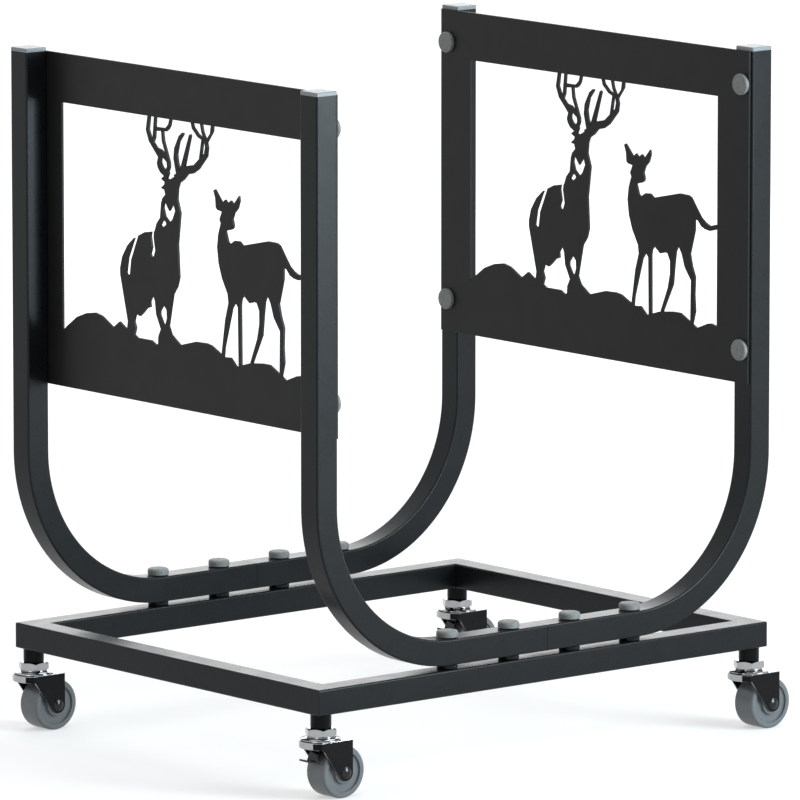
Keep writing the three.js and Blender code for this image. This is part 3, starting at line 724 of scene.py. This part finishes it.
class LOGCART_OT_fasteners(bpy.types.Operator):
    """Build the cradle bolts, their spacers and the panel screws"""

    bl_idname = "logcart.fasteners"
    bl_label = "Build Bolts and Screws"
    bl_options = {"REGISTER", "UNDO"}

    def execute(self, context):
        finish = head_finish()
        bolt_height, screw_height = sizes().bolt_head, sizes().screw_head
        bolt = headed(
            "bolt", (bolt_high.x - bolt_low.x) / 2, bolt_height, sizes().bolt_rounding,
            sizes().bolt_shank, bolt_high.z - bolt_height - bolt_low.z,
        )
        height = spacer_high.z - spacer_low.z
        radius = (spacer_high.x - spacer_low.x) / 2
        chamfer = 0.0005
        spacer = turned(
            "spacer",
            [(radius - chamfer, 0), (radius, chamfer), (radius, height - chamfer)]
            + [(radius - chamfer, height)],
            48,
        )
        drill(spacer, sizes().bolt_shank + CLEARANCE, radius - chamfer)
        plastic = spacer_plastic()
        for end in ENDS:
            for k in range(1, 5):
                node = f"frame_bolt_{end}_{k}"
                place = Matrix.Translation(
                    (middle(node).x, middle(node).y, bolt_high.z - bolt_height)
                )
                dress(copy_of(bolt, f"cradle_bolt_{end}_{k}", place), "grey_head", node, finish=finish)
                node = f"spacer_{end}_{k}"
                place = Matrix.Translation((middle(node).x, middle(node).y, spacer_low.z))
                copy = copy_of(spacer, f"cradle_spacer_{end}_{k}", place)
                dress(copy, "spacer_plastic", node, finish=plastic)
        screw = headed(
            "screw", (screw_high.z - screw_low.z) / 2, screw_height, sizes().screw_rounding,
            sizes().screw_shank, screw_high.x - screw_low.x - screw_height,
        )
        for side_name, sign in SIDES.items():
            for end in ENDS:
                for level in ("bottom", "top"):
                    node = f"panel_screw_{side_name}_{end}_{level}"
                    low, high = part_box(node)
                    face = low.x + screw_height if sign > 0 else high.x - screw_height
                    place = Matrix.Translation((face, middle(node).y, middle(node).z))
                    place = place @ Matrix.Rotation(-sign * math.pi / 2, 4, "Y")
                    copy = copy_of(screw, f"head_screw_{side_name}_{end}_{level}", place)
                    dress(copy, "grey_head", node, finish=finish)
        discard(bolt, spacer, screw)
        return {"FINISHED"}


class LOGCART_OT_side_panels(bpy.types.Operator):
    """Give the cut-out panels their softened edges and finish"""

    bl_idname = "logcart.side_panels"
    bl_label = "Build Deer Panels"
    bl_options = {"REGISTER", "UNDO"}

    def execute(self, context):
        coat = sheet_coat()
        for side_name in SIDES:
            node = f"side_panel_{side_name}"
            panel = copy_of(frame["nodes"][node], f"deer_panel_{side_name}", Matrix())
            panel.parent = None
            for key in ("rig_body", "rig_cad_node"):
                del panel[key]
            settle(panel)
            bpy.ops.object.mode_set(mode="EDIT")
            bpy.ops.mesh.select_all(action="SELECT")
            bpy.ops.mesh.dissolve_limited(angle_limit=math.radians(1))
            bpy.ops.mesh.quads_convert_to_tris(ngon_method="CLIP")
            bpy.ops.mesh.beautify_fill(angle_limit=math.radians(1))
            low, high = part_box(node)
            rim = sizes().sheet_rounding
            bpy.ops.transform.resize(
                value=(1 - 2 * rim / (high.x - low.x), 1, 1),
                center_override=((low.x + high.x) / 2, 0, 0),
            )
            pick("FACE", lambda face: abs(face.normal.x) > 0.9)
            bpy.ops.mesh.inset(thickness=rim, depth=rim)
            settle(panel, 50)
            flatten_shading(panel)
            dress(panel, "panel_coat", node, finish=coat)
        return {"FINISHED"}


class LOGCART_OT_caster_stems(bpy.types.Operator):
    """Build the caster stems with their ball races, and the lock nuts"""

    bl_idname = "logcart.caster_stems"
    bl_label = "Build Caster Stems and Nuts"
    bl_options = {"REGISTER", "UNDO"}

    def execute(self, context):
        stem_r = sizes().stem_radius
        race_r = (stem_high.x - stem_low.x) / 2
        race_low, race_high = fork_high.z + CLEARANCE, nut_low.z
        head_r = 0.0075
        head_top = fork_high.z - sizes().fork_sheet - CLEARANCE
        lip = 0.0006
        stem = turned(
            "stem",
            [(head_r - 0.0006, stem_low.z), (head_r, stem_low.z + 0.0004), (head_r, head_top)]
            + [(stem_r, head_top), (stem_r, race_low), (race_r - lip, race_low)]
            + quarter(race_r - lip, race_low + lip, lip, 4, rising=False)[1:]
            + [(race_r - 0.0002, race_low + 0.0010), (race_r - 0.0012, race_low + 0.0016)]
            + [(race_r - 0.0034, race_low + 0.0019), (race_r - 0.0050, race_low + 0.0026)]
            + [(0.0104, race_high - 0.0002), (0.0100, race_high), (stem_r, race_high)]
            + [(stem_r, stem_high.z - 0.0008), (stem_r - 0.0008, stem_high.z)],
        )
        flat = (nut_high.y - nut_low.y) / 2
        corner = (nut_high.x - nut_low.x) / 2
        across, reach = min(flat, corner), max(flat, corner)
        chamfer, face_r = 0.0011, across - 0.0002
        nut = turned(
            "nut",
            [(face_r, nut_low.z), (reach + 0.0001, nut_low.z + chamfer)]
            + [(reach + 0.0001, nut_high.z - chamfer), (face_r, nut_high.z)],
            72,
        )
        drill(nut, stem_r + 0.0002, face_r)
        first_flat = math.pi / 6 if corner > flat else 0
        for k in range(6):
            slice_off(nut, first_flat + math.pi / 3 * k, across)
        settle(nut, 20)
        flatten_shading(nut)
        plating = bright_plating()
        for end, side_name in CORNERS:
            corner_name = f"{end}_{side_name}"
            node = f"caster_stem_{corner_name}"
            place = Matrix.Translation((middle(node).x, middle(node).y, 0))
            dress(copy_of(stem, f"stem_and_race_{corner_name}", place), "chrome", node, finish=plating)
            node = f"caster_nut_{corner_name}"
            place = Matrix.Translation((middle(node).x, middle(node).y, 0))
            dress(copy_of(nut, f"lock_nut_{corner_name}", place), "chrome", node, finish=plating)
        discard(stem, nut)
        return {"FINISHED"}


class LOGCART_OT_caster_forks(bpy.types.Operator):
    """Build the pressed steel forks and their axles"""

    bl_idname = "logcart.caster_forks"
    bl_label = "Build Caster Forks"
    bl_options = {"REGISTER", "UNDO"}

    def execute(self, context):
        stem_x = middle("caster_stem_front_left").x
        trail = sizes().wheel_trail
        crown_z = fork_high.z
        half = (fork_high.y - fork_low.y) / 2
        crown_r = stem_x - fork_low.x
        lobe = fork_high.x - stem_x - trail
        drop = crown_z - (fork_low.z + lobe)
        # the side plate's front edge: down from the crown by the skirt, back to the cheek, down to
        # the knee, and then straight to the round lobe about the axle
        skirt, cheek, knee = 0.0053, -0.0085, (-0.0012, -0.0154)
        rear = trail + lobe

        def crown(radius, across, back):
            """The crown's outline from above: round in front, straight at its sides and back."""
            turn = math.asin(across / radius)
            return [(back, -across), (back, across)] + arc(
                (0, 0), radius, math.pi - turn, math.pi + turn, 40
            )

        to_knee = Vector((knee[0] - trail, knee[1] + drop))
        touch = math.atan2(to_knee.y, to_knee.x) + math.acos(lobe / to_knee.length)
        side_outline = (
            [(-crown_r, 0), (-crown_r, -skirt), (cheek, -skirt), knee]
            + arc((trail, -drop), lobe, touch, 2 * math.pi, 28)
            + [(rear, 0)]
        )
        spare = 0.001  # by which the cutting pieces stand out, so that no two faces share a plane
        fork = plate("fork", side_outline[::-1], 2 * (half + spare))
        fork.data.transform(
            Matrix.Translation((0, half + spare, crown_z)) @ Matrix.Rotation(math.pi / 2, 4, "X")
        )
        blank = plate("crown", crown(crown_r, half, rear + spare), crown_z + spare)
        combine(fork, blank, "INTERSECT")
        sheet = sizes().fork_sheet
        room = crown(crown_r - sheet, half - sheet, rear + 0.002)
        combine(fork, plate("room", room, crown_z - sheet), "DIFFERENCE")
        bore_r = sizes().stem_radius + CLEARANCE
        bore = turned("bore", [(bore_r, crown_z - 0.004), (bore_r, crown_z + spare)], 48)
        combine(fork, bore, "DIFFERENCE")
        soften(fork, 0.00035, 3)
        settle(fork, 35)
        flatten_shading(fork)
        # the rivets take the darkened plating, a painted dark reflection
        plating, shaded_plating, dark = bright_plating(), painted_shade_plating(), painted_reflection_plating()
        fork.data.materials.append(plating)
        fork.data.materials.append(dark)
        # the side plates below the crown's rounding get the near-black finish, a painted dark reflection
        below_rounding = crown_z - 0.0004
        for face in fork.data.polygons:
            if abs(face.normal.y) > 0.5 and face.center.z < below_rounding:
                face.material_index = 1

        # the rivet's rings, from the middle of its domed end to its seat beside the plate
        end, seat = half + 0.0015, half + 0.0001
        axle_r, head_r = sizes().axle_radius, 0.0046
        dome = [(end - 0.0001, head_r * 0.35), (end - 0.0004, head_r * 0.68)]
        side_rings = dome + [(end - 0.0010, head_r * 0.92), (seat + 0.0001, head_r), (seat, axle_r)]
        rings = [(0.0007, -end)] + [(r, -z) for z, r in side_rings]
        rings += [(r, z) for z, r in reversed(side_rings)] + [(0.0007, end)]
        axle = turned("axle", rings, 40)
        axle.data.transform(Matrix.Rotation(math.pi / 2, 4, "X"))
        for end_name, side_name in CORNERS:
            corner_name = f"{end_name}_{side_name}"
            at = middle(f"caster_stem_{corner_name}")
            copy = copy_of(fork, f"pressed_fork_{corner_name}", Matrix.Translation((at.x, at.y, 0)))
            dress(copy, "chrome", f"caster_fork_{corner_name}")
            at = middle(f"caster_wheel_{corner_name}")
            copy = copy_of(axle, f"wheel_rivet_{corner_name}", Matrix.Translation(at))
            dress(copy, "chrome", f"caster_axle_{corner_name}", finish=shaded_plating)
        discard(fork, axle)
        return {"FINISHED"}


class LOGCART_OT_caster_wheels(bpy.types.Operator):
    """Build the moulded wheels with their rounded treads, sunk faces and hubs"""

    bl_idname = "logcart.caster_wheels"
    bl_label = "Build Caster Wheels"
    bl_options = {"REGISTER", "UNDO"}

    def execute(self, context):
        radius = (wheel_high.z - wheel_low.z) / 2
        hub_half = (wheel_high.y - wheel_low.y) / 2
        tread, web, rounding = 0.0105, 0.0088, 0.0020
        rim_r, hub_r, bore = 0.0154, 0.0088, sizes().axle_radius + CLEARANCE
        fillet = 0.0005
        side_rings = (
            [(hub_r - fillet, hub_half), (hub_r, hub_half - fillet), (hub_r, web + 0.0002)]
            + [(hub_r + 0.0002, web), (rim_r - 0.0003, web), (rim_r, web + 0.0003)]
            + [(rim_r, tread - 0.0003), (rim_r + 0.0003, tread)]
            + quarter(radius - rounding, tread - rounding, rounding, 8)[::-1]
        )
        rings = [(r, -z) for r, z in side_rings] + [(r, z) for r, z in reversed(side_rings)]
        wheel = turned("wheel", rings, 96)
        drill(wheel, bore, hub_r - fillet)
        wheel.data.transform(Matrix.Rotation(math.pi / 2, 4, "X"))
        plastic = wheel_plastic()
        for end, side_name in CORNERS:
            node = f"caster_wheel_{end}_{side_name}"
            place = Matrix.Translation(middle(node))
            copy = copy_of(wheel, f"moulded_wheel_{end}_{side_name}", place)
            dress(copy, "wheel_plastic", node, finish=plastic)
        discard(wheel)
        return {"FINISHED"}


def pin_of(name, radius, half_length):
    """A round pin about Z with chamfered ends, and its middle at 0."""
    chamfer = 0.0003
    return turned(
        name,
        [(radius - chamfer, -half_length), (radius, -half_length + chamfer)]
        + [(radius, half_length - chamfer), (radius - chamfer, half_length)],
        32,
    )


class LOGCART_OT_brake_pedals(bpy.types.Operator):
    """Build the bent strip pedals of the two braked casters"""

    bl_idname = "logcart.brake_pedals"
    bl_label = "Build Brake Pedals"
    bl_options = {"REGISTER", "UNDO"}

    def execute(self, context):
        # the bent strip's middle line, from the stem's axis and the crown's top
        pin = Vector((-0.0042, -0.0062))
        shoe = Vector((-0.0086, -0.0155))
        toe = Vector((-0.0166, -0.0140))
        thick = 0.00075  # to each side of the line
        web = (shoe - pin).normalized()
        web = Vector((-web.y, web.x)) * thick
        tab = (toe - shoe).normalized()
        tab = Vector((-tab.y, tab.x)) * thick
        bend = (web + tab) / (1 + web.dot(tab) / thick**2)
        outline = [pin + web, shoe + bend, toe + tab, toe - tab, shoe - bend, pin - web]
        width = 0.011
        pedal = plate("pedal", [(point.x, point.y) for point in outline], width)
        pedal.data.transform(
            Matrix.Translation((0, width / 2, fork_high.z)) @ Matrix.Rotation(math.pi / 2, 4, "X")
        )
        soften(pedal, 0.0003)
        settle(pedal, 50)
        flatten_shading(pedal)
        inside_plates = (fork_high.y - fork_low.y) / 2 - 0.0004
        barrel = pin_of("barrel", 0.0026, width / 2)
        shaft = pin_of("shaft", 0.0018, inside_plates)
        at = Matrix.Translation((pin.x, 0, fork_high.z + pin.y))
        for part in (barrel, shaft):
            part.data.transform(at @ Matrix.Rotation(math.pi / 2, 4, "X"))
        select_only(pedal, barrel, shaft)
        bpy.ops.object.join()
        # darkened plating on the pedals: painted shade under the crown
        plating = painted_shade_plating()
        for corner_name in BRAKED:
            at = middle(f"caster_stem_{corner_name}")
            copy = copy_of(pedal, f"foot_brake_{corner_name}", Matrix.Translation((at.x, at.y, 0)))
            dress(copy, "chrome", f"brake_pedal_{corner_name}", finish=plating)
        discard(pedal)
        return {"FINISHED"}


class LOGCART_OT_sleeves(bpy.types.Operator):
    """Finish the sleeves inside the seams of the two U frames"""

    bl_idname = "logcart.sleeves"
    bl_label = "Finish Joining Sleeves"
    bl_options = {"REGISTER", "UNDO"}

    def execute(self, context):
        coat = powder_coat()
        for end in ENDS:
            for slot in frame["nodes"][f"joining_sleeve_{end}"].material_slots:
                slot.material = coat
        return {"FINISHED"}


# ------------------------------------------------------------------ stage


class LOGCART_OT_stage(bpy.types.Operator):
    """Set up the studio floor, the lamps, the world and the camera"""

    bl_idname = "logcart.stage"
    bl_label = "Set Up Stage"
    bl_options = {"REGISTER", "UNDO"}

    def seen_white(self, nodes, links):
        """1 for camera, glossy and transmission rays, which see the pale background."""
        path = nodes.new("ShaderNodeLightPath")
        total = path.outputs["Is Camera Ray"]
        for name in ("Is Glossy Ray", "Is Transmission Ray"):
            either = nodes.new("ShaderNodeMath")
            either.operation = "MAXIMUM"
            links.new(total, either.inputs[0])
            links.new(path.outputs[name], either.inputs[1])
            total = either.outputs[0]
        return total

    def floor(self):
        """A pale floor that shows the cart's shadow and turns white towards the horizon."""
        floor = start(
            "studio_floor", bpy.ops.mesh.primitive_circle_add, vertices=96, radius=60,
            fill_type="NGON", location=(0, 0, 0),
        )
        bpy.ops.mesh.inset(thickness=55)
        settle(floor)
        material = bpy.data.materials.new("studio floor")
        material.use_nodes = True
        nodes, links = material.node_tree.nodes, material.node_tree.links
        nodes.clear()
        output = nodes.new("ShaderNodeOutputMaterial")
        diffuse = nodes.new("ShaderNodeBsdfDiffuse")
        diffuse.inputs["Color"].default_value = (*colours().floor_white, 1)
        lift = nodes.new("ShaderNodeEmission")
        lift.inputs["Color"].default_value = (1, 1, 1, 1)
        place = nodes.new("ShaderNodeTexCoord")
        reach = nodes.new("ShaderNodeVectorMath")
        reach.operation = "LENGTH"
        links.new(place.outputs["Object"], reach.inputs[0])
        outward = nodes.new("ShaderNodeMapRange")
        outward.interpolation_type = "SMOOTHSTEP"
        lifts = {"From Min": 0.8, "From Max": 4.0, "To Min": 0.47, "To Max": 0.80}
        for name, value in lifts.items():
            outward.inputs[name].default_value = value
        links.new(reach.outputs["Value"], outward.inputs["Value"])
        amount = nodes.new("ShaderNodeMath")
        amount.operation = "MULTIPLY"
        links.new(self.seen_white(nodes, links), amount.inputs[0])
        links.new(outward.outputs["Result"], amount.inputs[1])
        links.new(amount.outputs[0], lift.inputs["Strength"])
        both = nodes.new("ShaderNodeAddShader")
        links.new(diffuse.outputs[0], both.inputs[0])
        links.new(lift.outputs[0], both.inputs[1])
        links.new(both.outputs[0], output.inputs["Surface"])
        floor.data.materials.append(material)

    def world(self):
        world = bpy.data.worlds.new("studio")
        bpy.context.scene.world = world
        world.use_nodes = True
        nodes, links = world.node_tree.nodes, world.node_tree.links
        nodes.clear()
        output = nodes.new("ShaderNodeOutputWorld")
        background = nodes.new("ShaderNodeBackground")
        background.inputs["Color"].default_value = (0.97, 0.985, 1.0, 1)
        strength = nodes.new("ShaderNodeMapRange")
        strength.inputs["To Min"].default_value = 0.50
        strength.inputs["To Max"].default_value = 1.0
        links.new(self.seen_white(nodes, links), strength.inputs["Value"])
        links.new(strength.outputs["Result"], background.inputs["Strength"])
        links.new(background.outputs[0], output.inputs["Surface"])

    def lamp(self, name, place, target, size, watts, tint):
        bpy.ops.object.select_all(action="DESELECT")
        bpy.ops.object.light_add(type="AREA", location=place)
        lamp = bpy.context.active_object
        lamp.name = name
        lamp.data.shape = "RECTANGLE"
        lamp.data.size, lamp.data.size_y = size
        lamp.data.energy = watts
        lamp.data.color = tint
        lamp.visible_camera = False
        lamp.rotation_euler = (Vector(target) - Vector(place)).to_track_quat("-Z", "Y").to_euler()

    def camera(self):
        """The photo's own view, fitted to the cart's corners in it."""
        down, turn = 0.15771, 0.69562
        sensor_mm, focal_px, picture_px = 36, 9698.2, 800
        camera = bpy.data.objects.new("camera", bpy.data.cameras.new("camera"))
        bpy.context.collection.objects.link(camera)
        camera.location = (-4.74727, -5.68655, 1.43632)
        camera.rotation_euler = (math.pi / 2 - down, 0, -turn)
        camera.data.sensor_width = sensor_mm
        camera.data.lens = focal_px * sensor_mm / picture_px
        camera.data.clip_start, camera.data.clip_end = 0.5, 200
        bpy.context.scene.camera = camera

    def execute(self, context):
        self.floor()
        self.world()
        self.lamp("key_front", (2.2, -3.2, 2.6), (0, 0, 0.3), (1.8, 1.8), 70, (0.82, 0.95, 1.0))
        self.lamp("fill_left", (-3.4, -0.8, 2.2), (0, 0, 0.3), (1.6, 1.6), 17, (1.0, 0.99, 0.97))
        self.lamp("top", (0.3, 0.4, 3.2), (0, 0, 0.2), (2.4, 2.4), 30, (1.0, 1.0, 1.0))
        self.lamp("rear_panel", (1.9, 2.27, 0.95), (0, 0, 0.4), (2.4, 1.4), 17, (1.0, 1.0, 1.0))
        self.lamp("side_panel", (1.0, -2.1, 0.62), (0, 0, 0.4), (0.9, 0.9), 43, (0.76, 0.92, 1.0))
        self.camera()
        context.scene.view_settings.view_transform = "Standard"
        return {"FINISHED"}


# ------------------------------------------------------------------ add-on


class LOGCART_PT_panel(bpy.types.Panel):
    """The cart's sizes, colours and pieces"""

    bl_idname = "LOGCART_PT_panel"
    bl_label = "Fireside Log Cart"
    bl_space_type = "VIEW_3D"
    bl_region_type = "UI"
    bl_category = "Log Cart"

    def draw(self, context):
        for group in (context.scene.log_cart_sizes, context.scene.log_cart_colours):
            column = self.layout.column(align=True)
            for name in group.__annotations__:
                column.prop(group, name)
        column = self.layout.column(align=True)
        for operator in OPERATORS:
            column.operator(operator.bl_idname)


GROUPS = (LogCartSizes, LogCartColours)
OPERATORS = (
    LOGCART_OT_base_frame,
    LOGCART_OT_cradle_tubes,
    LOGCART_OT_sleeves,
    LOGCART_OT_end_caps,
    LOGCART_OT_fasteners,
    LOGCART_OT_side_panels,
    LOGCART_OT_caster_stems,
    LOGCART_OT_caster_forks,
    LOGCART_OT_caster_wheels,
    LOGCART_OT_brake_pedals,
    LOGCART_OT_stage,
)


def register():
    for cls in (*GROUPS, *OPERATORS, LOGCART_PT_panel):
        bpy.utils.register_class(cls)
    bpy.types.Scene.log_cart_sizes = bpy.props.PointerProperty(type=LogCartSizes)
    bpy.types.Scene.log_cart_colours = bpy.props.PointerProperty(type=LogCartColours)


def unregister():
    del bpy.types.Scene.log_cart_colours
    del bpy.types.Scene.log_cart_sizes
    for cls in reversed((*GROUPS, *OPERATORS, LOGCART_PT_panel)):
        bpy.utils.unregister_class(cls)


def main():
    register()
    bpy.ops.logcart.base_frame()
    bpy.ops.logcart.cradle_tubes()
    bpy.ops.logcart.sleeves()
    bpy.ops.logcart.end_caps()
    bpy.ops.logcart.fasteners()
    bpy.ops.logcart.side_panels()
    bpy.ops.logcart.caster_stems()
    bpy.ops.logcart.caster_forks()
    bpy.ops.logcart.caster_wheels()
    bpy.ops.logcart.brake_pedals()
    bpy.ops.logcart.stage()


if __name__ == "__main__":
    main()
